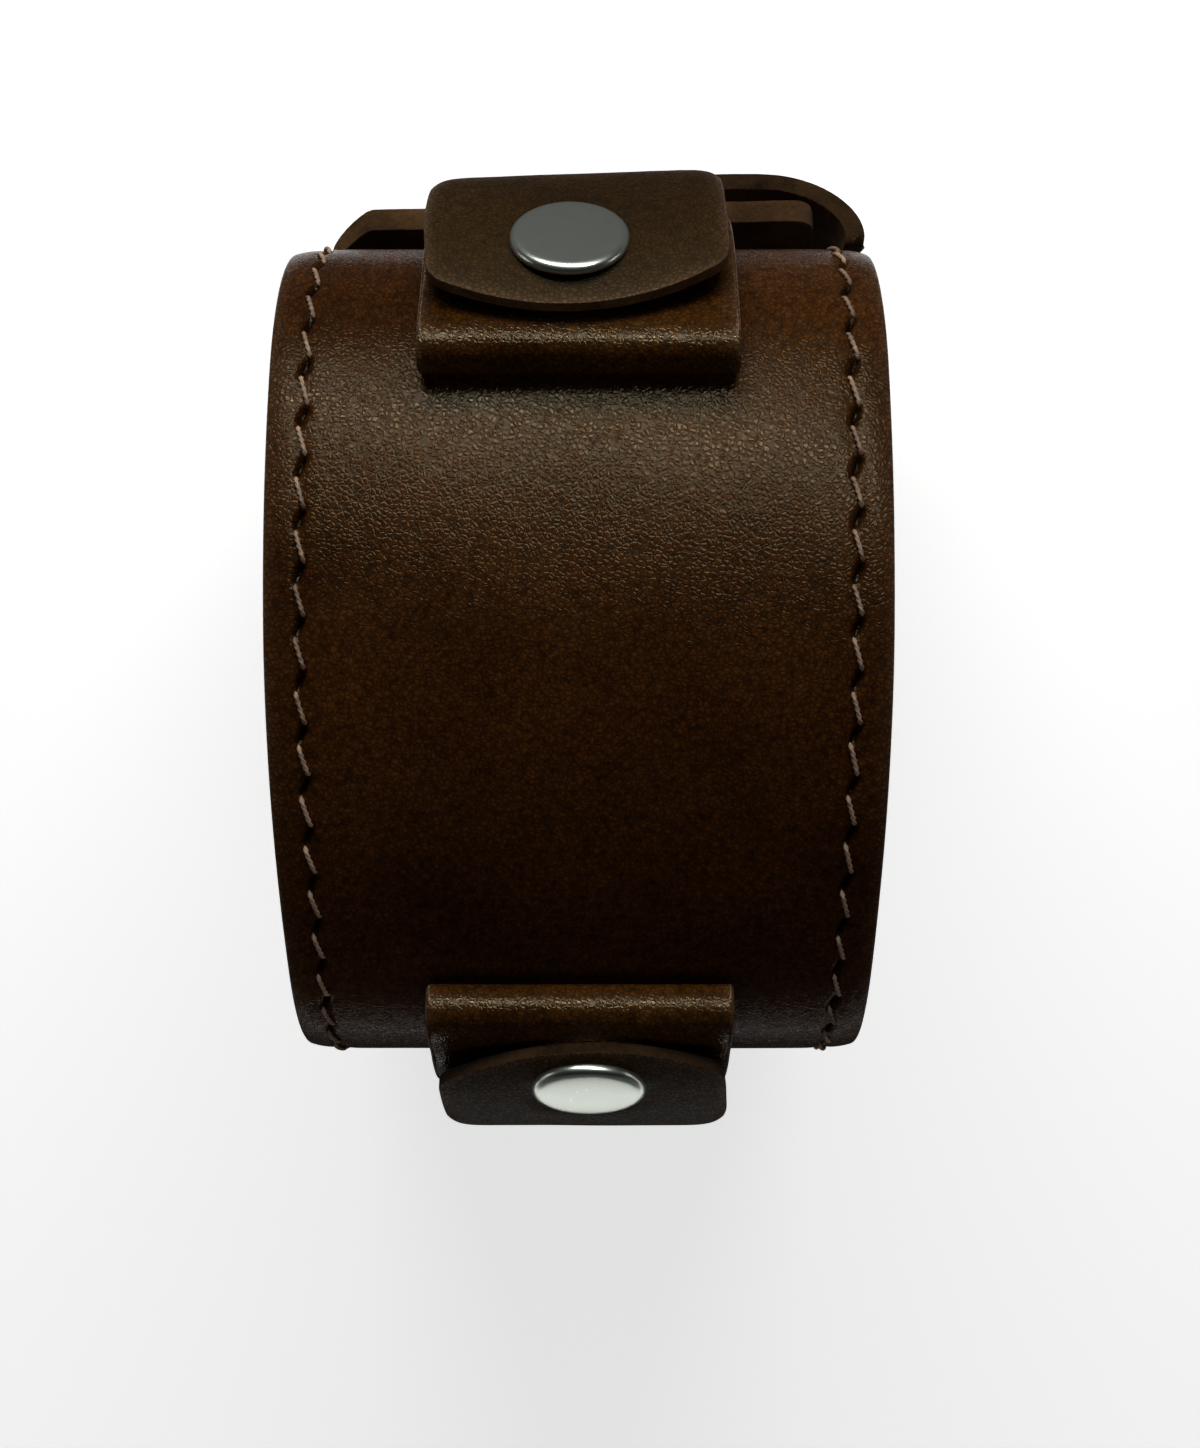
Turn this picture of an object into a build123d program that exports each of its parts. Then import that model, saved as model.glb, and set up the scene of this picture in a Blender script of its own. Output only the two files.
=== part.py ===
"""Wide leather cuff that carries a wrist watch on two snap loops.

The cuff lies on its back. X runs along the wearer's forearm, Y points to 12 o'clock,
Z points out of the front. The origin is the middle of the footprint, on the ground.

Seen along X the cuff is an oval. Every place on it is named by the direction that the
leather faces there: 0 degrees is the front, 90 is 12 o'clock, 180 is the back and 270
is 6 o'clock. Heights are measured outwards from the grain side of the cuff leather.
"""

import math
import os

from build123d import *

# Cuff oval, measured on its grain side
cuff_width = 50.8
front_radius = 55.0
end_radius = 20.0
front_half_angle = 28.1
cuff_leather = 1.6
cuff_lining = 1.2

# Ends of the cuff: the fixed leather stops at the bend line, the underlap lies inside
bend_angle = 236.0
bend_gap = 0.3
underlap_angle = 190.0

# Closing band, the same strip continued round the back and over the underlap
band_leather = 1.8
band_lining = 2.2
band_lining_width = 46.5
band_clearance = 0.6
band_bend_angle = 190.0
spring_angle = 158.0
band_end_angle = 110.0
lining_lift = 4.6
band_lift_right = 8.6
band_lift_left = 7.0
band_end_angle_left = 125.0
band_corner_radius = 9.0
lining_corner_radius = 2.0

# Loop straps that hold the watch by its spring bars
strap_width = 26.0
strap_leather = 1.35
bar_tunnel_radius = 0.8
top_ring_angle = 28.5
bottom_ring_angle = 32.0
strap_parting = 0.15
upper_layer_end_angle = 84.0
strap_end_angle = 108.0
neck_angle = 9.0

# Flaps that snap down over the loops, and where they lie at 12 and at 6 o'clock
flap_width = 24.4
flap_leather = 1.6
flap_tip_radius = 26.0
flap_tip_skew = 3.4
flap_clearance = 0.3
flap_bend_angle = 79.0
flap_step_angle = 97.0
flap_root_corner_radius = 1.5
top_flap_tip_angle = 32.7
top_flap_spring = 1.8
bottom_flap_tip_angle = 35.0
bottom_flap_spring = 2.4

# Snap fasteners
cap_radius = 4.9
cap_height = 0.75
cap_seat = 0.25
cap_rim = 0.45
cap_crown = 0.12
cap_barrel_radius = 1.5
socket_radius = 4.2
socket_height = 1.5
socket_edge = 0.3
stud_height = 1.2
stud_radius = 2.3
stud_neck_radius = 1.95
stud_tip_radius = 2.0
stud_flange_radius = 3.8
stud_flange = 0.45
snap_clearance = 0.35
socket_bore_clearance = 0.6
post_flange_radius = 3.4
post_flange = 0.4
post_barrel_radius = 1.2
post_wall = 0.3
top_snap_angle = 48.0
bottom_snap_angle = 46.5
flap_snap_tilt = 3.5
flap_snap_shift = -0.75
flap_socket_recess = 0.2
band_socket_recess = 1.5
closing_snap_spacing = 26.0

# Rivets that hold the straps and the flap roots to the cuff
rivet_angle = 101.0
rivet_cap_radius = 3.6
rivet_cap_height = 0.9
rivet_post_radius = 1.3
rivet_flange_radius = 3.4
rivet_flange = 0.5

# Worked out from the sizes above
side_half = cuff_width / 2
corner = math.radians(front_half_angle)
end_reach = (front_radius - end_radius) * math.sin(corner)
front_depth = (front_radius - end_radius) * math.cos(corner)
ring_radius = bar_tunnel_radius + strap_leather
upper_layer_top = 2 * strap_leather + strap_parting
flap_inner_tip = 2 * ring_radius + flap_clearance
band_outer_height = band_clearance + band_lining + band_leather
overrun = cuff_width


def spot(angle, height=0.0):
    """Point on the oval where the leather faces this way, raised by a height."""
    turn = (angle + 180) % 360 - 180
    if abs(turn) <= front_half_angle:
        centre = (0.0, -front_depth)
        radius = front_radius
    elif abs(turn) >= 180 - front_half_angle:
        centre = (0.0, front_depth)
        radius = front_radius
    else:
        centre = (math.copysign(end_reach, turn), 0.0)
        radius = end_radius
    reach = radius + height
    facing = math.radians(turn)
    return (centre[0] + reach * math.sin(facing), centre[1] + reach * math.cos(facing))


def corners_between(start, stop):
    """Angles where the oval changes radius, between two places on it."""
    turns = [front_half_angle, 180 - front_half_angle, 180 + front_half_angle, 360 - front_half_angle]
    every = [turn + lap for lap in (-360, 0, 360) for turn in turns]
    inside = [turn for turn in every if min(start, stop) < turn < max(start, stop)]
    return sorted(inside, reverse=start > stop)


def follow(start, stop, height=0.0):
    """Arcs that follow the oval at one height, added to the line being drawn."""
    places = [start, *corners_between(start, stop), stop]
    for first, last in zip(places, places[1:]):
        middle = (first + last) / 2
        ThreePointArc(spot(first, height), spot(middle, height), spot(last, height))


def ramp(angle, start, stop, low, high):
    """Height that changes evenly from one angle to another."""
    share = (angle - start) / (stop - start)
    return low + (high - low) * min(max(share, 0), 1)


def steps(start, stop, count):
    """Evenly spaced angles."""
    return [start + (stop - start) * number / count for number in range(count + 1)]


def side_view(x):
    """Plane across the wearer's arm, drawn with Y to the right and Z up."""
    return Plane(origin=(x, 0, 0), x_dir=(0, 1, 0), z_dir=(1, 0, 0))


def seat_plane(angle, height, x=0.0, tilt=0.0):
    """Plane that lies on the leather, with its Z outwards and its X along the arm."""
    facing = math.radians(angle + tilt)
    place = spot(angle, height)
    return Plane(
        origin=(x, place[0], place[1]), x_dir=(1, 0, 0), z_dir=(0, math.sin(facing), math.cos(facing))
    )


def section_of(plane):
    """Plane through the axis of a turned piece, drawn with its Y along that axis."""
    return Plane(origin=plane.origin, x_dir=plane.x_dir, z_dir=-plane.y_dir)


def even_strip(start, stop, inner, outer, width):
    """Leather strip of one thickness that follows the oval."""
    with BuildPart() as strip:
        with BuildSketch(side_view(-width / 2)):
            with BuildLine():
                follow(start, stop, outer)
                Line(spot(stop, outer), spot(stop, inner))
                follow(stop, start, inner)
                Line(spot(start, inner), spot(start, outer))
            make_face()
        extrude(amount=width)
    return strip.part


def bend_along(angles, height):
    """Arcs through places whose height above the oval changes from one to the next."""
    for first, last in zip(angles, angles[1:]):
        middle = (first + last) / 2
        ThreePointArc(
            spot(first, height(first)), spot(middle, height(middle)), spot(last, height(last))
        )


def strip_section(x, angles, inner, outer):
    """Section of a strip between two heights that change along it."""
    with BuildSketch(side_view(x)) as section:
        with BuildLine():
            bend_along(angles, inner)
            Line(spot(angles[-1], inner(angles[-1])), spot(angles[-1], outer(angles[-1])))
            bend_along(angles[::-1], outer)
            Line(spot(angles[0], outer(angles[0])), spot(angles[0], inner(angles[0])))
        make_face()
    return section.sketch


def bent_strip(angles, inner, thickness, width):
    """Leather strip whose height above the oval changes along it."""
    with BuildPart() as strip:
        add(strip_section(-width / 2, angles, inner, lambda angle: inner(angle) + thickness))
        extrude(amount=width, dir=(1, 0, 0))
    return strip.part


def corner_tools(start, ends, heights, width, radius, depth):
    """Tools that round the left and right corners of a strip's end, seen from its grain side."""
    tools = []
    lean = math.radians(ends[1] - ends[0]) * (end_radius + sum(heights) / 2)
    for side, end, height in zip((-1, 1), ends, heights):
        edge = Vector(0, math.copysign(1, start - end))
        across = Vector(-side * width, -side * lean).normalized()
        bisector = (edge + across).normalized()
        half_corner = math.radians(edge.get_angle(across)) / 2
        centre = bisector * (radius / math.sin(half_corner))
        tangent = radius / math.tan(half_corner)
        with BuildPart() as tool:
            with BuildSketch(seat_plane(end, height, x=side * width / 2)):
                with BuildLine():
                    Polyline(
                        centre, edge * tangent, edge * tangent - across * radius, bisector * -2 * radius,
                        across * tangent - edge * radius, across * tangent, close=True,
                    )
                make_face()
                with Locations(centre):
                    Circle(radius, mode=Mode.SUBTRACT)
            extrude(amount=depth, both=True)
        tools.append(tool.part)
    return tools


def disc(plane, radius, low, high):
    """Round plug between two levels of a seat plane, used to cut holes and seats."""
    with BuildPart() as plug:
        with BuildSketch(plane.offset(low)):
            Circle(radius)
        extrude(amount=high - low)
    return plug.part


def turned(plane, points):
    """Piece turned about the axis of a seat plane, from points given as radius and level."""
    with BuildPart() as piece:
        with BuildSketch(section_of(plane)):
            with BuildLine():
                Polyline(*points, close=True)
            make_face()
        revolve(axis=Axis(plane.origin, plane.z_dir))
    return piece.part


class SnapLevels:
    """Levels of one snap, below the grain side of the upper leather."""

    def __init__(self, upper, recess, drop, lower):
        self.socket_top = recess - upper
        self.socket_bottom = self.socket_top - socket_height
        self.cavity_top = self.socket_bottom + stud_height
        self.stud_shoulder = self.socket_bottom - snap_clearance
        self.stud_floor = self.stud_shoulder - stud_flange
        self.stud_tip = self.stud_shoulder + stud_height
        self.lower_grain = -drop
        self.lower_flesh = -drop - lower
        self.post_top = self.stud_tip - post_wall


def snap_cap(plane, level):
    """Pressed cap with a shallow crown, a rolled rim and the barrel that grips the socket."""
    edge = cap_height - cap_crown
    with BuildPart() as cap:
        with BuildSketch(section_of(plane)):
            with BuildLine():
                Line((0, level.cavity_top), (0, cap_height))
                ThreePointArc(
                    (0, cap_height),
                    ((cap_radius - cap_rim) / 2, cap_height - cap_crown / 4),
                    (cap_radius - cap_rim, edge),
                )
                TangentArc((cap_radius - cap_rim, edge), (cap_radius, edge - cap_rim), tangent=(1, 0))
                Line((cap_radius, edge - cap_rim), (cap_radius, 0))
                Line((cap_radius, 0), (cap_radius - cap_seat, -cap_seat))
                Line((cap_radius - cap_seat, -cap_seat), (cap_barrel_radius, -cap_seat))
                Line((cap_barrel_radius, -cap_seat), (cap_barrel_radius, level.cavity_top))
                Line((cap_barrel_radius, level.cavity_top), (0, level.cavity_top))
            make_face()
        revolve(axis=Axis(plane.origin, plane.z_dir))
    return cap.part


def snap_socket(plane, level):
    """Female half under the upper leather, open below for the stud."""
    bore = stud_radius + socket_bore_clearance
    return turned(
        plane,
        [
            (cap_barrel_radius, level.socket_top),
            (socket_radius - socket_edge, level.socket_top),
            (socket_radius, level.socket_top - socket_edge),
            (socket_radius, level.socket_bottom + socket_edge),
            (socket_radius - socket_edge, level.socket_bottom),
            (bore, level.socket_bottom),
            (bore, level.cavity_top),
            (cap_barrel_radius, level.cavity_top),
        ],
    )


def snap_stud(plane, level):
    """Male half on the lower leather: a flange, a waisted neck and a rounded head."""
    middle = (level.stud_shoulder + level.stud_tip) / 2
    return turned(
        plane,
        [
            (post_barrel_radius, level.stud_floor),
            (stud_flange_radius, level.stud_floor),
            (stud_flange_radius, level.stud_shoulder),
            (stud_neck_radius, level.stud_shoulder),
            (stud_radius, middle),
            (stud_tip_radius, level.stud_tip),
            (0, level.stud_tip),
            (0, level.post_top),
            (post_barrel_radius, level.post_top),
        ],
    )


def snap_post(plane, level):
    """Post that comes up through the lower leather and is closed inside the stud."""
    shoulder = level.lower_flesh + post_flange
    return turned(
        plane,
        [
            (0, level.lower_flesh),
            (post_flange_radius, level.lower_flesh),
            (post_flange_radius, shoulder),
            (post_barrel_radius, shoulder),
            (post_barrel_radius, level.post_top),
            (0, level.post_top),
        ],
    )


def upper_cuts(plane, level):
    """What the cap, its barrel and the socket need cut from the upper leather."""
    return [
        disc(plane, cap_radius, -cap_seat, overrun),
        disc(plane, cap_barrel_radius, -overrun, 0),
        disc(plane, socket_radius, -overrun, level.socket_top),
    ]


def lower_cuts(plane, level):
    """What the stud and its post need cut from the lower leather."""
    return [
        disc(plane, stud_flange_radius, level.stud_floor, stud_flange_radius),
        disc(plane, post_barrel_radius, level.lower_flesh, level.stud_floor),
        disc(plane, post_flange_radius, level.lower_flesh - strap_parting, level.lower_flesh + post_flange),
    ]


def turned_round(shape):
    """A piece made at 12 o'clock, turned round to its place at 6 o'clock."""
    with BuildPart() as other:
        with Locations(Location((0, 0, 0), (0, 0, 180))):
            add(shape)
    return other.part


pieces = {}

# Places of the closing snaps and of the rivets
outer_reach = front_radius + band_outer_height
closing_snap_angle = 180 - math.degrees(math.acos(outer_reach / (outer_reach + cap_height)))
closing_snaps = [
    seat_plane(closing_snap_angle, band_outer_height, x=side * closing_snap_spacing / 2)
    for side in (-1, 1)
]
band_level = SnapLevels(
    band_leather + band_lining, band_socket_recess, band_outer_height, cuff_leather
)
rivet = seat_plane(rivet_angle, strap_leather + flap_leather)
rivet_floor = -strap_leather - flap_leather - cuff_leather
rivets = [rivet, Plane(
    origin=(0, -rivet.origin.Y, rivet.origin.Z), x_dir=(1, 0, 0), z_dir=(0, -rivet.z_dir.Y, rivet.z_dir.Z)
)]

# Cuff leather: underlap, 12 o'clock, front and 6 o'clock in one strip
with BuildPart() as cuff_outer:
    add(even_strip(bend_angle - 360, underlap_angle, -cuff_leather, 0, cuff_width))
    for plane in closing_snaps:
        for cut in lower_cuts(plane, band_level):
            add(cut, mode=Mode.SUBTRACT)
    for plane in rivets:
        add(disc(plane, rivet_post_radius, rivet_floor, 0), mode=Mode.SUBTRACT)
        add(disc(plane, rivet_flange_radius, rivet_floor - rivet_flange, rivet_floor + rivet_flange),
            mode=Mode.SUBTRACT)
pieces["cuff_outer"] = cuff_outer.part

# Lining, glued and sewn inside the cuff leather
with BuildPart() as lining:
    add(even_strip(bend_angle - 360, underlap_angle, -cuff_leather - cuff_lining, -cuff_leather, cuff_width))
pieces["cuff_lining"] = lining.part

# Closing band: two layers that the snaps clamp together, free of each other at the end
band_inner_start = -cuff_leather - cuff_lining
band_start = bend_angle - math.degrees(bend_gap / end_radius)
free_start = band_clearance + band_lining


def band_inner(angle):
    """Inner height of the band's lining: flush with the cuff, then over the underlap, then free."""
    if angle > band_bend_angle:
        return ramp(angle, band_start, band_bend_angle, band_inner_start, band_clearance)
    return ramp(angle, spring_angle, band_end_angle, band_clearance, lining_lift)


def band_middle(angle):
    """Height where the band's lining meets its leather, up to where the two spring apart."""
    if angle > band_bend_angle:
        return ramp(angle, band_start, band_bend_angle, -cuff_leather, free_start)
    return ramp(angle, spring_angle, band_end_angle, free_start, lining_lift + band_lining)


def leather_inner(lift, end_angle):
    """Inner height of the band's leather along one edge, which springs away at its end."""
    def height(angle):
        if angle > spring_angle:
            return band_middle(angle)
        return ramp(angle, spring_angle, end_angle, free_start, lift)
    return height


def leather_outer(inner):
    """Outer height of the band's leather, which grows from the cuff's leather to its own."""
    def height(angle):
        return inner(angle) + ramp(angle, band_start, band_bend_angle, cuff_leather, band_leather)
    return height


def band_angles(end_angle):
    """Places that the closing band's arcs join."""
    joined = steps(band_start, band_bend_angle, 4) + steps(band_bend_angle, spring_angle, 3)[1:]
    return joined + steps(spring_angle, end_angle, 3)[1:]


with BuildPart() as closing_lining:
    add(strip_section(-band_lining_width / 2, band_angles(band_end_angle), band_inner, band_middle))
    extrude(amount=band_lining_width, dir=(1, 0, 0))
    for tool in corner_tools(
        bend_angle, (band_end_angle, band_end_angle), (lining_lift, lining_lift),
        band_lining_width, lining_corner_radius, lining_corner_radius + band_lining,
    ):
        add(tool, mode=Mode.SUBTRACT)
    for plane in closing_snaps:
        for cut in upper_cuts(plane, band_level):
            add(cut, mode=Mode.SUBTRACT)
pieces["closing_band_lining"] = closing_lining.part

with BuildPart() as closing_leather:
    sides = []
    for x, lift, end_angle in (
        (-side_half, band_lift_left, band_end_angle_left),
        (side_half, band_lift_right, band_end_angle),
    ):
        inner = leather_inner(lift, end_angle)
        section = strip_section(x, band_angles(end_angle), inner, leather_outer(inner))
        sides.append(section.faces()[0])
    loft(sides, ruled=True)
    for tool in corner_tools(
        bend_angle, (band_end_angle_left, band_end_angle), (band_lift_left, band_lift_right),
        cuff_width, band_corner_radius, band_corner_radius,
    ):
        add(tool, mode=Mode.SUBTRACT)
    for plane in closing_snaps:
        for cut in upper_cuts(plane, band_level):
            add(cut, mode=Mode.SUBTRACT)
pieces["closing_band_leather"] = closing_leather.part

for name, maker in (
    ("closing_snap_caps", snap_cap), ("closing_snap_sockets", snap_socket),
    ("closing_snap_studs", snap_stud), ("closing_snap_posts", snap_post),
):
    with BuildPart() as pair:
        for plane in closing_snaps:
            add(maker(plane, band_level))
    pieces[name] = pair.part


def loop_strap(ring_angle, snap, level):
    """Strap folded round the spring bar, its two layers parted by a slit and riveted at the root."""
    ring = spot(ring_angle, ring_radius)
    facing = math.radians(ring_angle)
    nose = (ring[0] - ring_radius * math.cos(facing), ring[1] + ring_radius * math.sin(facing))
    neck = ring_angle + neck_angle
    with BuildPart() as strap:
        with BuildSketch(side_view(-strap_width / 2)):
            with BuildLine():
                follow(strap_end_angle, ring_angle)
                ThreePointArc(spot(ring_angle), nose, spot(ring_angle, 2 * ring_radius))
                Spline(
                    spot(ring_angle, 2 * ring_radius),
                    spot(ring_angle + neck_angle / 2, (2 * ring_radius + upper_layer_top) / 2),
                    spot(neck, upper_layer_top),
                    tangents=[
                        (math.cos(facing), -math.sin(facing)),
                        (math.cos(math.radians(neck)), -math.sin(math.radians(neck))),
                    ],
                )
                follow(neck, upper_layer_end_angle, upper_layer_top)
                Line(spot(upper_layer_end_angle, upper_layer_top), spot(upper_layer_end_angle, strap_leather))
                follow(upper_layer_end_angle, strap_end_angle, strap_leather)
                Line(spot(strap_end_angle, strap_leather), spot(strap_end_angle))
            make_face()
        extrude(amount=strap_width)
        with BuildSketch(side_view(-strap_width / 2)):
            with Locations(ring):
                Circle(bar_tunnel_radius)
        extrude(amount=strap_width, mode=Mode.SUBTRACT)
        add(even_strip(ring_angle, upper_layer_end_angle + neck_angle, strap_leather,
                       strap_leather + strap_parting, strap_width), mode=Mode.SUBTRACT)
        for cut in lower_cuts(snap, level):
            add(cut, mode=Mode.SUBTRACT)
        add(disc(rivet, rivet_post_radius, rivet_floor, 0), mode=Mode.SUBTRACT)
    return strap.part


def flap_leaf(tip_angle, inner_bend, gap, snap, level):
    """Flap from its bend line to its tip, which is rounded towards the watch."""
    def height(angle):
        return ramp(angle, tip_angle, flap_bend_angle, flap_inner_tip, inner_bend)

    skew = math.radians(flap_tip_skew)
    with BuildPart() as flap:
        add(bent_strip(steps(tip_angle, flap_bend_angle - gap, 4), height, flap_leather, flap_width))
        with BuildSketch(seat_plane(tip_angle, flap_inner_tip)):
            Rectangle(flap_width + 2 * flap_leather, flap_tip_radius)
            with Locations((-flap_tip_radius * math.sin(skew), flap_tip_radius * math.cos(skew))):
                Circle(flap_tip_radius, mode=Mode.SUBTRACT)
        extrude(amount=flap_tip_radius, both=True, mode=Mode.SUBTRACT)
        for cut in upper_cuts(snap, level):
            add(cut, mode=Mode.SUBTRACT)
    return flap.part


def flap_root(inner_bend, gap):
    """Same leather past its bend line: it steps down behind the strap's free end to the rivet."""
    def height(angle):
        return ramp(angle, upper_layer_end_angle, flap_step_angle, inner_bend, strap_leather)

    middle_step = (upper_layer_end_angle + flap_step_angle) / 2
    angles = [flap_bend_angle + gap, upper_layer_end_angle, middle_step, flap_step_angle, strap_end_angle]
    with BuildPart() as root:
        add(bent_strip(angles, height, flap_leather, flap_width))
        add(disc(rivet, rivet_post_radius, rivet_floor, overrun), mode=Mode.SUBTRACT)
        add(disc(rivet, rivet_cap_radius, 0, overrun), mode=Mode.SUBTRACT)
        for tool in corner_tools(
            flap_bend_angle, (strap_end_angle, strap_end_angle), (strap_leather, strap_leather),
            flap_width, flap_root_corner_radius, flap_root_corner_radius + flap_leather,
        ):
            add(tool, mode=Mode.SUBTRACT)
    return root.part


def loop_pieces(ring_angle, tip_angle, spring, snap_angle):
    """Every piece of one loop, made at 12 o'clock."""
    inner_bend = upper_layer_top + flap_clearance + spring
    gap = math.degrees(bend_gap / 2 / (end_radius + inner_bend + flap_leather))
    grain = ramp(snap_angle, tip_angle, flap_bend_angle, flap_inner_tip, inner_bend) + flap_leather
    snap = seat_plane(snap_angle, grain, x=flap_snap_shift, tilt=flap_snap_tilt)
    level = SnapLevels(flap_leather, flap_socket_recess, grain - upper_layer_top, strap_leather)
    rivet_edge = rivet_cap_height / 2
    print("snap at", snap.origin, "bend line at", spot(flap_bend_angle, inner_bend + flap_leather))
    return {
        "strap": loop_strap(ring_angle, snap, level),
        "flap": flap_leaf(tip_angle, inner_bend, gap, snap, level),
        "flap_root": flap_root(inner_bend, gap),
        "snap_cap": snap_cap(snap, level),
        "snap_socket": snap_socket(snap, level),
        "snap_stud": snap_stud(snap, level),
        "snap_post": snap_post(snap, level),
        "rivet_cap": turned(rivet, [
            (rivet_post_radius, 0), (rivet_cap_radius, 0), (rivet_cap_radius, rivet_edge),
            (rivet_cap_radius - rivet_edge, rivet_cap_height), (0, rivet_cap_height),
            (0, rivet_edge), (rivet_post_radius, rivet_edge),
        ]),
        "rivet_post": turned(rivet, [
            (0, rivet_floor), (rivet_flange_radius, rivet_floor),
            (rivet_flange_radius, rivet_floor + rivet_flange),
            (rivet_post_radius, rivet_floor + rivet_flange),
            (rivet_post_radius, rivet_edge), (0, rivet_edge),
        ]),
    }


# The loops at 12 and at 6 o'clock
top_loop = loop_pieces(top_ring_angle, top_flap_tip_angle, top_flap_spring, top_snap_angle)
for name, piece in top_loop.items():
    pieces["top_" + name] = piece
bottom_loop = loop_pieces(bottom_ring_angle, bottom_flap_tip_angle, bottom_flap_spring, bottom_snap_angle)
for name, piece in bottom_loop.items():
    pieces["bottom_" + name] = turned_round(piece)

# The ground and the middle of the footprint become the origin
everything = Compound(children=[Compound(piece.solids()) for piece in pieces.values()])
box = everything.bounding_box()
ground = Location((0, -(box.min.Y + box.max.Y) / 2, -box.min.Z))
print("oval centre at", ground.position)
print("spring bars at", spot(top_ring_angle, ring_radius), spot(bottom_ring_angle, ring_radius))
print("rivet at", rivet.origin)

os.makedirs("parts", exist_ok=True)
for name, piece in pieces.items():
    placed = piece.moved(ground)
    placed.label = name
    export_step(placed, f"parts/{name}.step")
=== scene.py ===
"""Leather cuff that carries a wrist watch: the looks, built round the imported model.

The cuff lies on its back. X runs along the forearm, Y points to 12 o'clock, Z out of the front.
Seen along X the cuff is an oval. A place on it is named by the way the leather faces there, in
degrees: 0 is the front, 90 is 12 o'clock, 180 is the back and 270, or -90, is 6 o'clock.
"""

import math
import random

import bmesh
import bpy
import numpy as np
from mathutils import Matrix, Vector, noise


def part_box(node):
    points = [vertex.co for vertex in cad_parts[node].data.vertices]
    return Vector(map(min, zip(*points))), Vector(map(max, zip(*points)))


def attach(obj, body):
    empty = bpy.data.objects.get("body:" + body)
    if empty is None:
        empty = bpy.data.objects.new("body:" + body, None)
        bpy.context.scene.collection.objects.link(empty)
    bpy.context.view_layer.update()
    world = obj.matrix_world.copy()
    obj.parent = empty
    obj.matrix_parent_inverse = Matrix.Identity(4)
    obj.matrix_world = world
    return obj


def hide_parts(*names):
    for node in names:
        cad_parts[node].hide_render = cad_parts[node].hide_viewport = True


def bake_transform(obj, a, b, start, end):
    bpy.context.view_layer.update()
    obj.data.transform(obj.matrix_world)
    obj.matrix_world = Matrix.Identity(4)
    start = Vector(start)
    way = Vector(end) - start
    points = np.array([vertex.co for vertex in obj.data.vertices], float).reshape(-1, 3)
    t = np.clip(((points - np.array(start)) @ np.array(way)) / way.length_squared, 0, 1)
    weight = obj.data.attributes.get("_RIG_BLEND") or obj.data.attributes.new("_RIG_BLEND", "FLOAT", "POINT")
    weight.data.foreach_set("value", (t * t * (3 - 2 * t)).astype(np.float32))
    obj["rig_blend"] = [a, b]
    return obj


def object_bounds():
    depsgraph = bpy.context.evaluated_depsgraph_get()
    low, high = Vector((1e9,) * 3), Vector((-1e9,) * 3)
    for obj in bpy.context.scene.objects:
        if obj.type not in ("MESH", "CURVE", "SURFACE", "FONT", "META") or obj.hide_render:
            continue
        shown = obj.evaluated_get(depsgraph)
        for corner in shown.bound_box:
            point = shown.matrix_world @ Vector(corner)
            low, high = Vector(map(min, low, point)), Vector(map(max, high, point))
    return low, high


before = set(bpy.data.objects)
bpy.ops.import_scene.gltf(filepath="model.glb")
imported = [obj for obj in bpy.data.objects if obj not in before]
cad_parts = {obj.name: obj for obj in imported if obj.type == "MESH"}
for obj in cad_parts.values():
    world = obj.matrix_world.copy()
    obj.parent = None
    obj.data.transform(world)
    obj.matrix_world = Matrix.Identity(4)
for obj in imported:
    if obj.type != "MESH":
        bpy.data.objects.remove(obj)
cad_low, cad_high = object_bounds()
mm = 0.001

# Studio: a pale paper floor under a plain white surround. The paper glows only for the rays that
# look at it, so that it stays pale without more light on the leather.
white = (1.0, 1.0, 1.0, 1.0)
paper_shade = (0.84, 0.84, 0.83, 1.0)
paper_glow = 0.68


def put(tree, kind, inputs=None, **settings):
    """A new shader node; its inputs are given as values or as other nodes' sockets."""
    made = tree.nodes.new(kind)
    for name, value in settings.items():
        setattr(made, name, value)
    for name, value in (inputs or {}).items():
        if isinstance(value, bpy.types.NodeSocket):
            tree.links.new(value, made.inputs[name])
        else:
            made.inputs[name].default_value = value
    return made


def clean_material(name):
    """A material with an empty node tree."""
    material = bpy.data.materials.new(name)
    material.use_nodes = True
    material.node_tree.nodes.clear()
    return material


def shown(name, bm, *materials):
    """A new object from a bmesh, smooth, with its place in its mesh."""
    mesh = bpy.data.meshes.new(name)
    bm.to_mesh(mesh)
    bm.free()
    mesh.polygons.foreach_set("use_smooth", [True] * len(mesh.polygons))
    made = bpy.data.objects.new(name, mesh)
    bpy.context.scene.collection.objects.link(made)
    for material in materials:
        mesh.materials.append(material)
    return made


def seen_background(tree):
    """1 for the rays that look at the background: from the camera, in gloss and through glass."""
    path = put(tree, "ShaderNodeLightPath")
    gloss = put(tree, "ShaderNodeMath", {0: path.outputs["Is Camera Ray"],
                                         1: path.outputs["Is Glossy Ray"]}, operation="MAXIMUM")
    return put(tree, "ShaderNodeMath", {0: gloss.outputs[0],
                                        1: path.outputs["Is Transmission Ray"]}, operation="MAXIMUM")


floor_paper = clean_material("pale_floor")
tree = floor_paper.node_tree
paper = put(tree, "ShaderNodeBsdfDiffuse", {"Color": paper_shade})
lift = put(tree, "ShaderNodeMath", {0: seen_background(tree).outputs[0], 1: paper_glow},
           operation="MULTIPLY")
glow = put(tree, "ShaderNodeEmission", {"Color": white, "Strength": lift.outputs[0]})
both = put(tree, "ShaderNodeAddShader", {0: paper.outputs[0], 1: glow.outputs[0]})
put(tree, "ShaderNodeOutputMaterial", {"Surface": both.outputs[0]})

floor_reach = 4.0
floor_gap = 0.02 * mm
bm = bmesh.new()
bmesh.ops.create_grid(bm, x_segments=1, y_segments=1, size=floor_reach,
                      matrix=Matrix.Translation((0, 0, cad_low.z - floor_gap)))
floor = shown("floor", bm, floor_paper)

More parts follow.
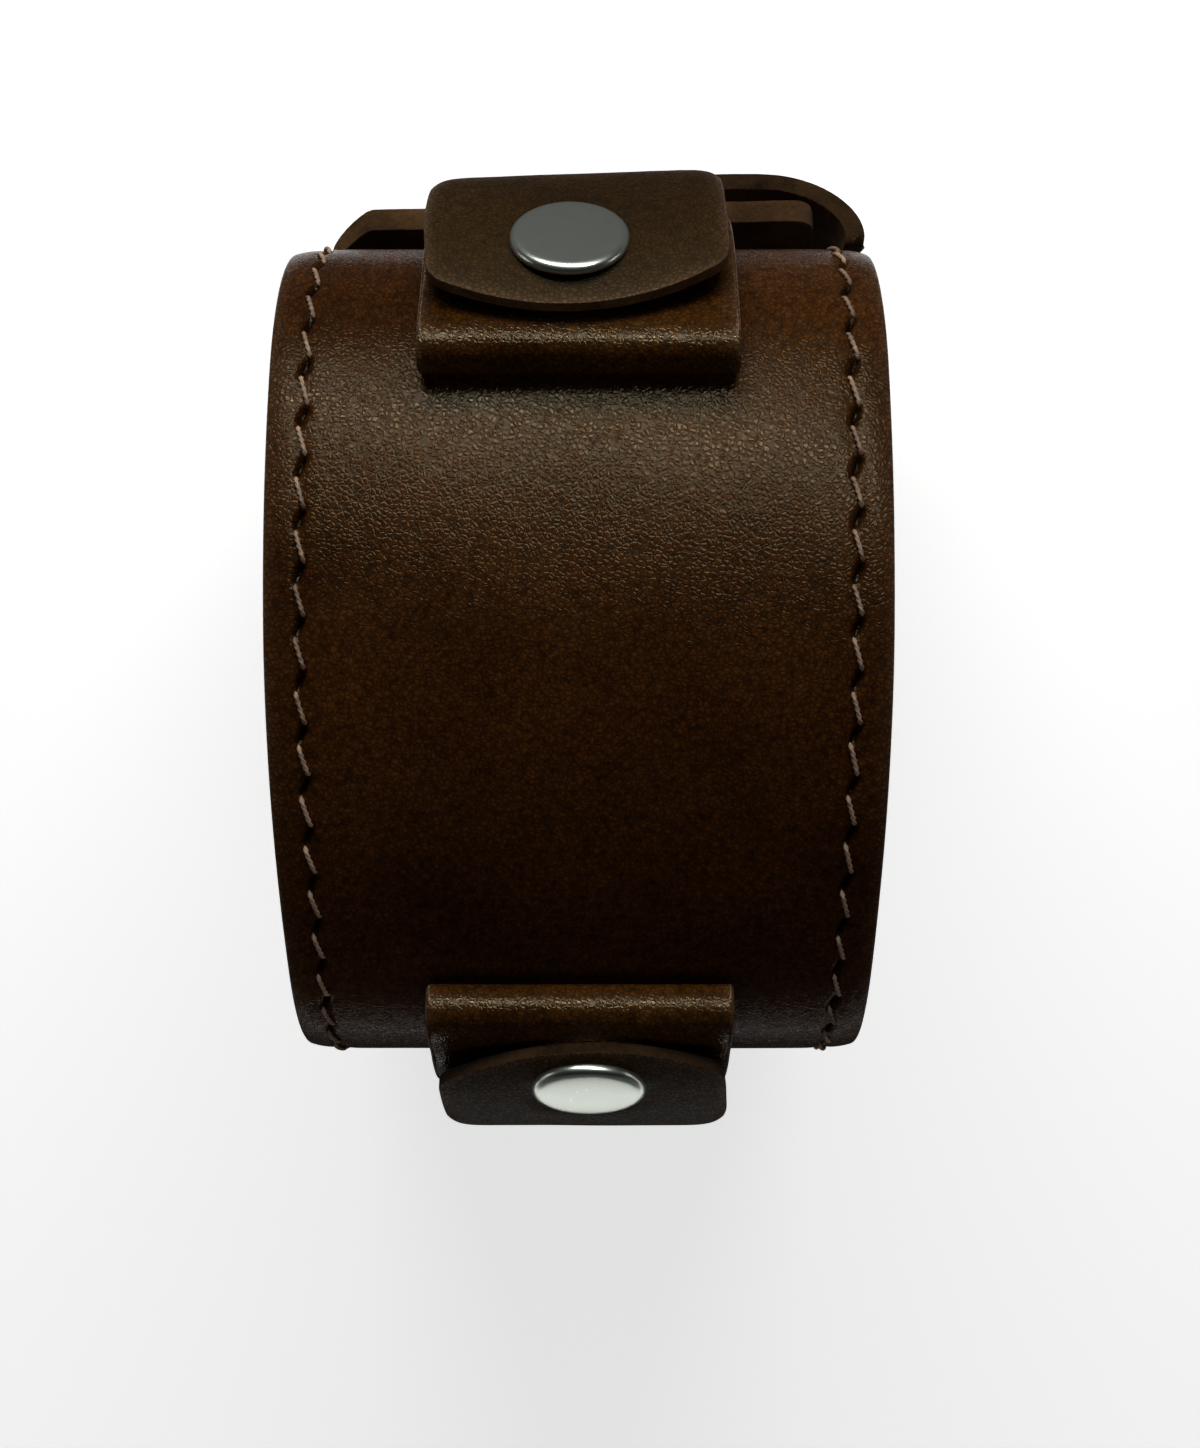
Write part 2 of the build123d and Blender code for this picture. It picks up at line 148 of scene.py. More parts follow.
surround = bpy.data.worlds.new("white_surround")
bpy.context.scene.world = surround
surround.use_nodes = True
tree = surround.node_tree
tree.nodes.clear()
fill_strength = 0.042
level = put(tree, "ShaderNodeMapRange", {"Value": seen_background(tree).outputs[0],
                                         "To Min": fill_strength, "To Max": 1.0})
sky = put(tree, "ShaderNodeBackground", {"Color": white, "Strength": level.outputs[0]})
put(tree, "ShaderNodeOutputWorld", {"Surface": sky.outputs[0]})


def glow_sheet(name, glow):
    """Sheet that glows evenly at a given strength, though it is no lamp: a painted reflection."""
    material = clean_material(name)
    tree = material.node_tree
    shade = put(tree, "ShaderNodeEmission", {"Color": white, "Strength": glow})
    put(tree, "ShaderNodeOutputMaterial", {"Surface": shade.outputs[0]})
    return material


def only_reflected(name, bm, material):
    """Stage piece that only reflections see."""
    made = shown(name, bm, material)
    for ray in ("camera", "diffuse", "transmission", "volume_scatter", "shadow"):
        setattr(made, f"visible_{ray}", False)


# Hoods and aprons: sheets that glow evenly and that only reflections see, painted reflections which keep the
# leather deep.
# The hoods are parts of a drum round the X axis, a dark one overhead and a grey one low at 6 o'clock. The
# aprons lie
# along the floor: the bright one is the painted reflection that the lower cap mirrors, and the dark one next
# to the cuff is a painted shadow of the floor there.
hood_radius = 0.62
cloth_half_width = 2.5
hood_folds = 24
apron_height = 0.4 * mm
hoods = {"dark_hood": (0.005, -66.0, 92.0), "low_hood": (0.07, -92.0, -66.0)}
aprons = {"grey_apron": (0.09, 0.055, 0.66), "shadow_apron": (0.02, -0.112, -0.03),
          "bright_apron": (3.0, -0.132, -0.112), "low_apron": (0.03, -0.66, -0.132)}
for name, (glow, start, stop) in hoods.items():
    bm = bmesh.new()
    edge = [bm.verts.new((side * cloth_half_width, math.sin(math.radians(start)) * hood_radius,
                          math.cos(math.radians(start)) * hood_radius)) for side in (-1, 1)]
    bmesh.ops.spin(bm, geom=edge + [bm.edges.new(edge)], cent=(0, 0, 0), axis=(-1, 0, 0),
                   angle=math.radians(stop - start), steps=hood_folds)
    only_reflected(name, bm, glow_sheet(f"{name}_glow_sheet", glow))
for name, (glow, front, back) in aprons.items():
    bm = bmesh.new()
    bmesh.ops.create_grid(bm, x_segments=1, y_segments=1, size=1,
                          matrix=Matrix.Translation((0, (front + back) / 2, apron_height))
                          @ Matrix.Diagonal((cloth_half_width, (back - front) / 2, 1, 1)))
    only_reflected(name, bm, glow_sheet(f"{name}_glow_sheet", glow))


def soft_lamp(name, facing, distance, size, power, roll=0.0):
    """Area lamp beyond the cuff's front, aimed at its middle and rolled in the lamp's own plane."""
    lamp = bpy.data.lights.new(name, "AREA")
    lamp.shape = "RECTANGLE"
    lamp.size, lamp.size_y = size
    lamp.energy = power
    made = bpy.data.objects.new(name, lamp)
    bpy.context.scene.collection.objects.link(made)
    turn = math.radians(facing)
    middle = (cad_low + cad_high) / 2
    made.location = middle + distance * Vector((0, math.sin(turn), math.cos(turn)))
    made.rotation_mode = "ZYX"
    made.rotation_euler = (-turn, 0, math.radians(roll))
    return made


# Lamps: the strip, a little askew, makes the band of sheen across the front and lights nothing
# else. The key at 12 o'clock and the weak low lamp at 6 o'clock give the light.
strip_lamp = soft_lamp("strip_lamp", facing=44.0, distance=0.50, size=(0.50, 0.045), power=4.6, roll=-27.0)
key_lamp = soft_lamp("key_lamp", facing=64.0, distance=0.32, size=(0.30, 0.08), power=0.80)
low_lamp = soft_lamp("low_lamp", facing=-35.0, distance=0.40, size=(0.40, 0.20), power=0.12)
strip_lamp.visible_diffuse = False
key_lamp.visible_glossy = False
low_lamp.visible_glossy = False

# Camera: it stands where the photograph was taken, in front of the cuff and nearer to 12 o'clock,
# tilted 8 degrees. Its place is measured from the middle of the oval, so it is set up after that.
photo_height = 1448
focal_pixels = 2000.0
camera_sensor = 36.0
camera_place = Vector((1.7, 19.4, 183.5)) * mm
camera_tilt = -8.0

# Cuff leather: one strip of dark chestnut pull-up leather, grain side out. It is cut flat, stitched
# along both edges and bent into the oval. The underlap lies inside at the back, and just past
# 6 o'clock the strip goes on as the closing band.
front_radius = 55.0 * mm
end_radius = 20.0 * mm
front_half_angle = 28.1
cuff_half_width = 25.4 * mm
cuff_leather = 1.6 * mm
underlap_angle = 190.0
split_angle = 256.0

end_reach = (front_radius - end_radius) * math.sin(math.radians(front_half_angle))
front_depth = (front_radius - end_radius) * math.cos(math.radians(front_half_angle))
cuff_low, cuff_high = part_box("cuff_outer")
oval_y = (cuff_low.y + cuff_high.y) / 2
oval_z = cuff_high.z - (front_radius - front_depth)

camera = bpy.data.cameras.new("camera")
camera.sensor_width = camera_sensor
camera.lens = focal_pixels / photo_height * camera_sensor
camera_stand = bpy.data.objects.new("camera", camera)
camera_stand.location = camera_place + Vector((0, oval_y, oval_z))
camera_stand.rotation_euler = (math.radians(camera_tilt), 0, 0)
bpy.context.scene.collection.objects.link(camera_stand)
bpy.context.scene.camera = camera_stand
bpy.context.scene.view_settings.view_transform = "Standard"


def spot(angle, height=0.0):
    """Point (Y, Z) on the oval where the leather faces this way, raised by a height."""
    turn = (angle + 180) % 360 - 180
    if abs(turn) <= front_half_angle:
        centre, radius = (0, -front_depth), front_radius
    elif abs(turn) >= 180 - front_half_angle:
        centre, radius = (0, front_depth), front_radius
    else:
        centre, radius = (math.copysign(end_reach, turn), 0), end_radius
    reach, facing = radius + height, math.radians(turn)
    return (oval_y + centre[0] + reach * math.sin(facing), oval_z + centre[1] + reach * math.cos(facing))


slimmest = 0.022
slim_start, slim_stop = 5 * mm, -34 * mm


def ease(share):
    """Smooth change from 0 to 1."""
    share = min(max(share, 0), 1)
    return share * share * (3 - 2 * share)


def slimmer(y):
    """The strip is cut a little narrower towards 6 o'clock."""
    return 1 - slimmest * ease((y - slim_start) / (slim_stop - slim_start))


class Bend:
    """Line in the side view that flat leather is laid along, with its grain side on the line."""

    def __init__(self, points):
        self.line = np.array(points)
        steps = np.diff(self.line, axis=0)
        self.along = np.concatenate([[0.0], np.cumsum(np.hypot(steps[:, 0], steps[:, 1]))])
        self.length = self.along[-1]
        slope = np.gradient(self.line, self.along, axis=0)
        slope /= np.hypot(slope[:, 0], slope[:, 1])[:, None]
        self.out = np.stack([-slope[:, 1], slope[:, 0]], axis=1)

    def place(self, x, along, height):
        """Point in space of a place on the flat leather."""
        y, z = (np.interp(along, self.along, self.line[:, axis]) for axis in (0, 1))
        out_y, out_z = (np.interp(along, self.along, self.out[:, axis]) for axis in (0, 1))
        scale = height / math.hypot(out_y, out_z)
        return Vector((x * slimmer(y - oval_y), y + scale * out_y, z + scale * out_z))


def oval_line(start, stop, height=lambda angle: 0.0, step=0.5):
    """Points along the oval from one facing angle to another."""
    count = round(abs(stop - start) / step)
    angles = [start + (stop - start) * number / count for number in range(count + 1)]
    return [spot(angle, height(angle)) for angle in angles]


def spread(*stretches):
    """Places across a strip, from stretches given as start, stop and the longest step."""
    places, slack = [], 0.001
    for start, stop, step in stretches:
        count = max(1, math.ceil((stop - start) / step - slack))
        places += [start + (stop - start) * number / count for number in range(count)]
    return places + [stretches[-1][1]]


def both_sides(places):
    """The same places on the left and the right of the middle line."""
    return sorted({-place for place in places} | set(places))


rim_width = 0.5 * mm
sharp_corner = math.radians(60)
grain_slope = 0.4


def cut_leather(columns, rows, thickness, start, stop, rounding, open_end=None):
    """Leather cut flat: X across, Y along, grain at Z 0. Faces: 0 grain, 1 cut edge, 2 flesh side."""
    bm = bmesh.new()
    bmesh.ops.create_grid(bm, x_segments=len(columns) - 1, y_segments=rows, size=0.5)
    for vertex in bm.verts:
        x = columns[round((vertex.co.x + 0.5) * (len(columns) - 1))]
        low, high = start(x), stop(x)
        vertex.co = (x, low + (vertex.co.y + 0.5) * (high - low), 0)
    grown = bmesh.ops.extrude_face_region(bm, geom=bm.faces[:], use_keep_orig=True)
    flesh = [item for item in grown["geom"] if isinstance(item, bmesh.types.BMVert)]
    bmesh.ops.translate(bm, vec=(0, 0, -thickness), verts=flesh)
    bmesh.ops.recalc_face_normals(bm, faces=bm.faces[:])
    corners = [
        edge for edge in bm.edges
        if edge.calc_face_angle(0) > sharp_corner
        and not (open_end is not None and all(abs(v.co.y - open_end) < 0.01 * mm for v in edge.verts))
    ]
    bmesh.ops.bevel(bm, geom=corners, offset=rounding, offset_type="OFFSET", segments=3, profile=0.5,
                    affect="EDGES", material=-1, clamp_overlap=True)
    for face in bm.faces:
        up = face.normal.z
        face.material_index = 0 if up > grain_slope else 2 if up < -grain_slope else 1
    depth, rim = (bm.verts.layers.float.new(name) for name in ("depth", "rim"))
    for vertex in bm.verts:
        x, along, height = vertex.co
        vertex[depth] = min(max(-height / thickness, 0), 1)
        edge = columns[-1] - abs(x)
        for end in (start(x), stop(x)):
            if end != open_end:
                edge = min(edge, abs(along - end))
        vertex[rim] = math.exp(-max(edge, 0) / rim_width)
    return bm


def pressed(bm, origin, normal, radius, fade, level, only_down=False):
    """Presses a round place. level gives the height along the normal for a depth in the leather."""
    depth = bm.verts.layers.float["depth"]
    for vertex in bm.verts:
        off = vertex.co - origin
        height = off.dot(normal)
        away = (off - height * normal).length - radius
        target = level(vertex[depth])
        if target is None or away > fade or abs(height) > 3 * radius or (only_down and target > height):
            continue
        vertex.co += ease(1 - max(away, 0) / fade) * (target - height) * normal


edge_roll = 0.5 * mm
roll_sharpness = 20


def rolled_edges(bm):
    """The outermost part of the strip turns down a little on both sides."""
    for vertex in bm.verts:
        vertex.co.z -= edge_roll * (vertex.co.x / cuff_half_width) ** roll_sharpness


def bent(bm, place):
    """Lays flat leather along its bend."""
    for vertex in bm.verts:
        vertex.co = place(*vertex.co)
    return bm


# Awl slits: one row along each edge, each slit pierced at a lean, in a shallow groove pressed by
# the pull of the thread. The thread leans the other way between them.
stitch_pitch = 4.36 * mm
stitch_row = 22.4 * mm
slit_lean, slit_length, slit_half_width = 0.80 * mm, 1.96 * mm, 0.38 * mm
slit_depth = 0.55 * mm
slit_falloff = 1.6
slit_end_sharpness = 4
groove_depth, groove_half_width = 0.10 * mm, 0.75 * mm


def slit_at(x, along, first):
    """How deep in a slit a place is, from 0 to 1. The row starts with a slit at first."""
    number = round((along - first) / stitch_pitch)
    across, down = x - math.copysign(stitch_row, x), along - (first + number * stitch_pitch)
    lean = math.atan2(slit_lean, slit_length)
    off = across * math.cos(lean) - down * math.sin(lean)
    on = across * math.sin(lean) + down * math.cos(lean)
    half = math.hypot(slit_lean, slit_length) / 2
    if abs(on) > half or abs(off) > 2 * slit_half_width:
        return 0.0
    across_share = math.exp(-((off / slit_half_width) ** 2) * slit_falloff)
    return (1 - (on / half) ** slit_end_sharpness) * across_share


def stitched_relief(bm, thickness, first, last):
    """Presses the slits and the groove of both rows into the grain side, and marks the slits for the painted
    shade that darkens them.
    """
    mark = bm.verts.layers.float.new("slit")
    for vertex in bm.verts:
        x, along, height = vertex.co
        across = abs(x) - stitch_row
        if height < -thickness / 2 or abs(across) > 3 * groove_half_width:
            continue
        if not first - stitch_pitch / 2 < along < last + stitch_pitch / 2:
            continue
        slit = slit_at(x, along, first)
        vertex[mark] = slit
        groove = groove_depth * math.exp(-((across / groove_half_width) ** 2))
        vertex.co.z -= groove + slit_depth * slit


def waved(bm, size, amount, seed):
    """Slow waves in the grain side, as worn leather has."""
    for vertex in bm.verts:
        vertex.co.z += amount * noise.noise(Vector((vertex.co.x, vertex.co.y, seed * size)) / size)


plain_stop = 19.6 * mm
row_inside, row_outside = 21.5 * mm, 23.3 * mm
row_step, edge_step = 0.13 * mm, 0.35 * mm
stitched_columns = both_sides(
    spread((0, plain_stop, 1.0 * mm), (plain_stop, row_inside, 0.32 * mm),
           (row_inside, row_outside, row_step), (row_outside, cuff_half_width, edge_step))
)
cuff_bend = Bend(oval_line(split_angle - 360, underlap_angle))
cuff_row_step = 0.4 * mm
cuff_rows = round(cuff_bend.length / cuff_row_step)
cuff_first_slit = 1.6 * mm
cuff_unstitched = 5 * mm
cuff_slits = int((cuff_bend.length - cuff_unstitched) / stitch_pitch)
cuff_last_slit = cuff_first_slit + cuff_slits * stitch_pitch
worn_tone = (0.125, 0.068, 0.034, 1)
worn_most = 0.75
# Near-black colour for the awl slits: painted shade in the recesses.
slit_painted_shade = (0.002, 0.0012, 0.0008, 1)
crease_bend = 0.45 * mm


def grain_leather(name, seed, dark, light, dullest, glossiest, shine=0.10):
    """Smooth side of leather: mottled, finely wrinkled, with a satin sheen, and with painted shade in its
    creases and its awl slits.
    """
    material = clean_material(name)
    tree = material.node_tree
    coords = put(tree, "ShaderNodeTexCoord")
    moved = put(tree, "ShaderNodeMapping", {"Vector": coords.outputs["Object"],
                                            "Location": (seed, seed * 0.7, seed * 1.3)})
    where = moved.outputs[0]
    drift = put(tree, "ShaderNodeTexNoise", {"Vector": where, "Scale": 75.0, "Detail": 4.0,
                                             "Roughness": 0.55})
    flecks = put(tree, "ShaderNodeTexNoise", {"Vector": where, "Scale": 1500.0, "Detail": 3.0,
                                              "Roughness": 0.6})
    share = put(tree, "ShaderNodeMapRange", {"Value": drift.outputs["Fac"], "From Min": 0.3,
                                             "From Max": 0.7})
    base = put(tree, "ShaderNodeMix", {0: share.outputs[0], 6: (*dark, 1), 7: (*light, 1)},
               data_type="RGBA")
    speck = put(tree, "ShaderNodeMapRange", {"Value": flecks.outputs["Fac"], "From Min": 0.3,
                                             "From Max": 0.72, "To Min": 0.5, "To Max": 1.4})
    tone = put(tree, "ShaderNodeVectorMath", {0: base.outputs[2], 1: speck.outputs[0]},
               operation="MULTIPLY")
    rim = put(tree, "ShaderNodeAttribute", attribute_name="rim")
    worn_share = put(tree, "ShaderNodeMath", {0: rim.outputs["Fac"], 1: worn_most}, operation="MULTIPLY")
    worn = put(tree, "ShaderNodeMix", {0: worn_share.outputs[0], 6: tone.outputs[0], 7: worn_tone},
               data_type="RGBA")
    # Painted shade: where the slit mark is set, the colour goes near black.
    slit = put(tree, "ShaderNodeAttribute", attribute_name="slit")
    colour = put(tree, "ShaderNodeMix", {0: slit.outputs["Fac"], 6: worn.outputs[2], 7: slit_painted_shade},
                 data_type="RGBA")
    warped = put(tree, "ShaderNodeTexNoise", {"Vector": where, "Scale": 900.0, "Detail": 2.0})
    bend = put(tree, "ShaderNodeVectorMath", {0: warped.outputs["Color"], "Scale": crease_bend},
               operation="SCALE")
    bent_where = put(tree, "ShaderNodeVectorMath", {0: where, 1: bend.outputs[0]}, operation="ADD")
    cells = put(tree, "ShaderNodeTexVoronoi", {"Vector": bent_where.outputs[0], "Scale": 2300.0,
                                               "Randomness": 1.0}, feature="DISTANCE_TO_EDGE")
    creases = put(tree, "ShaderNodeMapRange", {"Value": cells.outputs["Distance"], "From Max": 0.28},
                  interpolation_type="SMOOTHSTEP")
    # Painted shade: plates darkens the colour to half along the creases between the grain's plates.
    plates = put(tree, "ShaderNodeMapRange", {"Value": creases.outputs[0], "To Min": 0.5, "To Max": 1.1})
    crease_shaded_colour = put(tree, "ShaderNodeVectorMath", {0: colour.outputs[2], 1: plates.outputs[0]},
                   operation="MULTIPLY")
    ripple = put(tree, "ShaderNodeTexNoise", {"Vector": where, "Scale": 700.0, "Detail": 5.0,
                                              "Roughness": 0.62, "Distortion": 0.6})
    height = put(tree, "ShaderNodeMath", {0: ripple.outputs["Fac"], 1: 2.4, 2: creases.outputs[0]},
                 operation="MULTIPLY_ADD")
    bump = put(tree, "ShaderNodeBump", {"Height": height.outputs[0], "Distance": 0.05 * mm,
                                        "Strength": 0.42})
    smooth = put(tree, "ShaderNodeMath", {0: flecks.outputs["Fac"], 1: creases.outputs[0]},
                 operation="MULTIPLY")
    gloss = put(tree, "ShaderNodeMapRange", {"Value": smooth.outputs[0], "From Min": 0.1,
                                             "From Max": 0.65, "To Min": dullest,
                                             "To Max": glossiest})
    skin = put(tree, "ShaderNodeBsdfPrincipled", {
        "Base Color": crease_shaded_colour.outputs[0], "Roughness": gloss.outputs[0], "Normal": bump.outputs[0],
        "Specular IOR Level": shine, "Specular Tint": (1.0, 0.83, 0.52, 1.0),
    })
    put(tree, "ShaderNodeOutputMaterial", {"Surface": skin.outputs[0]})
    return material


def raw_leather(name, dark, light, scale, depth, fluff):
    """Cut edges and flesh side: short matted fibres with no finish."""
    material = clean_material(name)
    tree = material.node_tree
    coords = put(tree, "ShaderNodeTexCoord")
    fibres = put(tree, "ShaderNodeTexNoise", {"Vector": coords.outputs["Object"], "Scale": scale,
                                              "Detail": 6.0, "Roughness": 0.7, "Distortion": 1.5})
    patches = put(tree, "ShaderNodeTexNoise", {"Vector": coords.outputs["Object"],
                                               "Scale": scale / 6, "Detail": 3.0})
    mixed = put(tree, "ShaderNodeMath", {0: fibres.outputs["Fac"], 1: patches.outputs["Fac"]},
                operation="ADD")
    share = put(tree, "ShaderNodeMapRange", {"Value": mixed.outputs[0], "From Min": 0.7,
                                             "From Max": 1.3})
    colour = put(tree, "ShaderNodeMix", {0: share.outputs[0], 6: (*dark, 1), 7: (*light, 1)},
                 data_type="RGBA")
    bump = put(tree, "ShaderNodeBump", {"Height": mixed.outputs[0], "Distance": depth,
                                        "Strength": 1.0})
    fuzz = put(tree, "ShaderNodeBsdfPrincipled", {
        "Base Color": colour.outputs[2], "Roughness": 0.92, "Normal": bump.outputs[0],
        "Sheen Weight": fluff, "Sheen Roughness": 0.6, "Specular IOR Level": 0.05,
    })
    put(tree, "ShaderNodeOutputMaterial", {"Surface": fuzz.outputs[0]})
    return material


chestnut = grain_leather("chestnut_grain", 0.0, dark=(0.044, 0.0138, 0.0024),
                         light=(0.078, 0.0275, 0.0060), dullest=0.30, glossiest=0.16, shine=0.064)
cut_edge = raw_leather("cut_edge", dark=(0.009, 0.0040, 0.0011), light=(0.047, 0.0235, 0.0080),
                       scale=1900.0, depth=0.10 * mm, fluff=0.0)
flesh_side = raw_leather("flesh_side", dark=(0.028, 0.0130, 0.0038), light=(0.100, 0.051, 0.0175),
                         scale=1500.0, depth=0.15 * mm, fluff=0.03)
strip_rounding = 0.22 * mm
strip_wave, strip_wave_depth = 9 * mm, 0.05 * mm

bm = cut_leather(stitched_columns, cuff_rows, cuff_leather, lambda x: 0.0,
                 lambda x: cuff_bend.length, strip_rounding, open_end=0.0)
waved(bm, strip_wave, strip_wave_depth, seed=1)
stitched_relief(bm, cuff_leather, cuff_first_slit, cuff_last_slit)
rolled_edges(bm)
cuff = shown("cuff_leather", bent(bm, cuff_bend.place), chestnut, cut_edge, flesh_side)
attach(cuff, "cuff")
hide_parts("cuff_outer")

# Closing band: the same strip past 6 o'clock. It runs under the back and over the underlap to
# 12 o'clock, where its free end springs away from the cuff, further on the right than on the left.
band_leather = 1.8 * mm
band_lining = 2.2 * mm
band_lining_half_width = 23.25 * mm
band_clearance = 0.6 * mm
hinge_angle = 236.0
band_bend_angle = 190.0
spring_angle = 158.0
band_end_angle_left = 125.0
band_end_angle_right = 113.0
lining_end_angle = 107.0
lining_lift = 3.95 * mm
band_lift_left = 7.0 * mm
band_lift_right = 9.1 * mm
band_corner_radius = 9.0 * mm
right_corner_radius = 0.8 * mm
free_start = band_clearance + band_lining
twist_start, twist_stop = -22 * mm, 12 * mm
free_length = 24 * mm
slip = 2.0 * mm
curl_start = 14.8 * mm
curl_reach, curl_drop = 10.0 * mm, 8.1 * mm
band_taper_share = 0.75


def ramp(place, start, stop, low, high, softness=0.12):
    """Height that changes evenly between two places. A mean of five ramps softens its ends."""
    share = (place - start) / (stop - start)
    softened = 0.0
    for number in range(-2, 3):
        softened += min(max(share + number * softness / 2, 0), 1) / 5
    return low + (high - low) * softened


def band_grain(lift, end_angle):
    """Height of the band's grain side along one edge."""
    def height(angle):
        low = ramp(angle, hinge_angle, band_bend_angle, 0, free_start + band_leather)
        spring = ramp(angle, spring_angle, end_angle, 0, lift - free_start)
        return low + spring
    return height


band_left = Bend(oval_line(band_end_angle_left, split_angle,
                           band_grain(band_lift_left, band_end_angle_left)))
band_right = Bend(oval_line(band_end_angle_right, split_angle,
                            band_grain(band_lift_right, band_end_angle_right)))
band_length = (band_left.length + band_right.length) / 2


def band_surface(x, along):
    """Place on the band's grain side. Its left and right sides run on their own bends, the free
    end is skewed to the right, and its right edge curls down to the cuff."""
    done = along / band_length
    free = ease(1 - along / free_length)
    curl = max(x - curl_start, 0) / (cuff_half_width - curl_start) * math.pi / 2
    far = x + slip * free
    if curl > 0:
        far += free * (curl_start + curl_reach * math.sin(curl) - x)
    left = band_left.place(far, done * band_left.length, 0)
    right = band_right.place(far, done * band_right.length,
                             -free * curl_drop * (1 - math.cos(curl)))
    return left.lerp(right, ease((x - twist_start) / (twist_stop - twist_start)))


def band_place(x, along, height):
    """Place on or in the band, at a height above its grain side."""
    here, near = band_surface(x, along), 0.05 * mm
    across = here - band_surface(x - near, along)
    onward = band_surface(x, along + near) - band_surface(x, along - near)
    return here + height * across.cross(onward).normalized()


def rounded_end(radius, half_width):
    """How far a strip's end is cut back towards its corners."""
    def cut(x):
        inside = abs(x) - (half_width - radius)
        return radius - math.sqrt(max(radius ** 2 - inside ** 2, 0)) if inside > 0 else 0.0
    return cut


band_plain_stop = 16 * mm
band_columns = both_sides(
    spread((0, band_plain_stop, 1.2 * mm), (band_plain_stop, row_inside, 0.6 * mm),
           (row_inside, row_outside, row_step), (row_outside, cuff_half_width, edge_step))
)
band_row_step = 0.5 * mm
band_rows = round(band_length / band_row_step)
band_unstitched = 46 * mm
band_last_slit = band_length + cuff_first_slit - stitch_pitch
band_slits = int((band_length - band_unstitched) / stitch_pitch)
band_first_slit = band_last_slit - band_slits * stitch_pitch


def band_end(x):
    """Where the band's free end starts: its left corner is well rounded, its right one a little."""
    return rounded_end(band_corner_radius if x < 0 else right_corner_radius, cuff_half_width)(x)


bm = cut_leather(band_columns, band_rows, band_leather, band_end,
                 lambda x: band_length, strip_rounding, open_end=band_length)
waved(bm, strip_wave, strip_wave_depth, seed=4)
stitched_relief(bm, band_leather, band_first_slit, band_last_slit)
rolled_edges(bm)
thinnest = cuff_leather / band_leather
for vertex in bm.verts:
    vertex.co.z *= ramp(vertex.co.y, band_taper_share * band_length, band_length, 1.0, thinnest)
band = shown("closing_band_outer", bent(bm, band_place), chestnut, cut_edge, flesh_side)
hinge_reach = 14.0
hinge_start = Vector((0, *spot(hinge_angle + hinge_reach)))
hinge_end = Vector((0, *spot(hinge_angle - hinge_reach)))
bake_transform(band, "cuff", "closing_band", hinge_start, hinge_end)
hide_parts("closing_band_leather")

# Closing band's inner layer: undyed leather, rough side showing. It is narrower than the strip,
# sewn to it up to where the two spring apart, and cut square at its free end.
glue_line = 0.02 * mm
inner_layer = 1.2 * mm


def band_lining_face(angle):
    """Height of the layer's face that meets the band."""
    low = ramp(angle, hinge_angle, band_bend_angle, -cuff_leather, free_start)
    return low + ramp(angle, spring_angle, lining_end_angle, 0, lining_lift - band_clearance) - glue_line


band_lining_bend = Bend(oval_line(lining_end_angle, split_angle, band_lining_face))
layer_lean = 0.024
droop_start, droop_depth, droop_length = 19.6 * mm, 3.6 * mm, 20 * mm
droop_power = 1.3
narrowest = 0.93


def band_lining_place(x, along, height):
    """Place on the layer. Its free end leans, is narrower on the right and hangs down on the left."""
    far = max(-x - droop_start, 0) / (band_lining_half_width - droop_start)
    end = max(1 - along / droop_length, 0)
    narrower = 1 - (1 - narrowest) * ease(end) if x > 0 else 1
    raised = layer_lean * x - droop_depth * far ** droop_power
    return band_lining_bend.place(x * narrower, along, height + raised * end)


closing_snap_angle = 170.96
closing_snap_x = 13.0 * mm
closing_cap_level = free_start + band_leather
snap_hole_radius, snap_hole_fade = 4.25 * mm, 0.4 * mm
film_top, film_bottom = -1.45 * mm, -1.5 * mm


def closing_snap_seats():
    """Place and direction of each closing snap's axis, on the band's grain side."""
    facing = math.radians(closing_snap_angle)
    direction = Vector((0, math.sin(facing), math.cos(facing)))
    return [(Vector((x, *spot(closing_snap_angle, closing_cap_level))), direction)
            for x in (-closing_snap_x, closing_snap_x)]


layer_columns = both_sides(
    spread((0, stitch_row, 0.6 * mm), (stitch_row, band_lining_half_width, 0.28 * mm))
)
layer_row_step = 0.55 * mm
layer_rows = round(band_lining_bend.length / layer_row_step)
layer_corner_radius, layer_rounding = 2 * mm, 0.3 * mm
layer_taper_start_share, layer_taper_stop_share = 0.45, 0.85
bm = cut_leather(layer_columns, layer_rows, band_lining,
                 rounded_end(layer_corner_radius, band_lining_half_width),
                 lambda x: band_lining_bend.length, layer_rounding, open_end=band_lining_bend.length)
thinnest = inner_layer / band_lining
for vertex in bm.verts:
    share = vertex.co.y / band_lining_bend.length
    vertex.co.z *= ramp(share, layer_taper_start_share, layer_taper_stop_share, 1.0, thinnest)
waved(bm, size=5 * mm, amount=0.12 * mm, seed=7)
bent(bm, band_lining_place)

# Round each snap's socket the layer is cut away: it shrinks to a film hidden in the band there.
for origin, direction in closing_snap_seats():
    pressed(bm, origin, direction, snap_hole_radius, snap_hole_fade,
            lambda depth: film_top if depth < 0.5 else film_bottom)
band_inside = shown("closing_band_inner", bm, *[flesh_side] * 3)
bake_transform(band_inside, "cuff", "closing_band", hinge_start, hinge_end)
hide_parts("closing_band_lining")

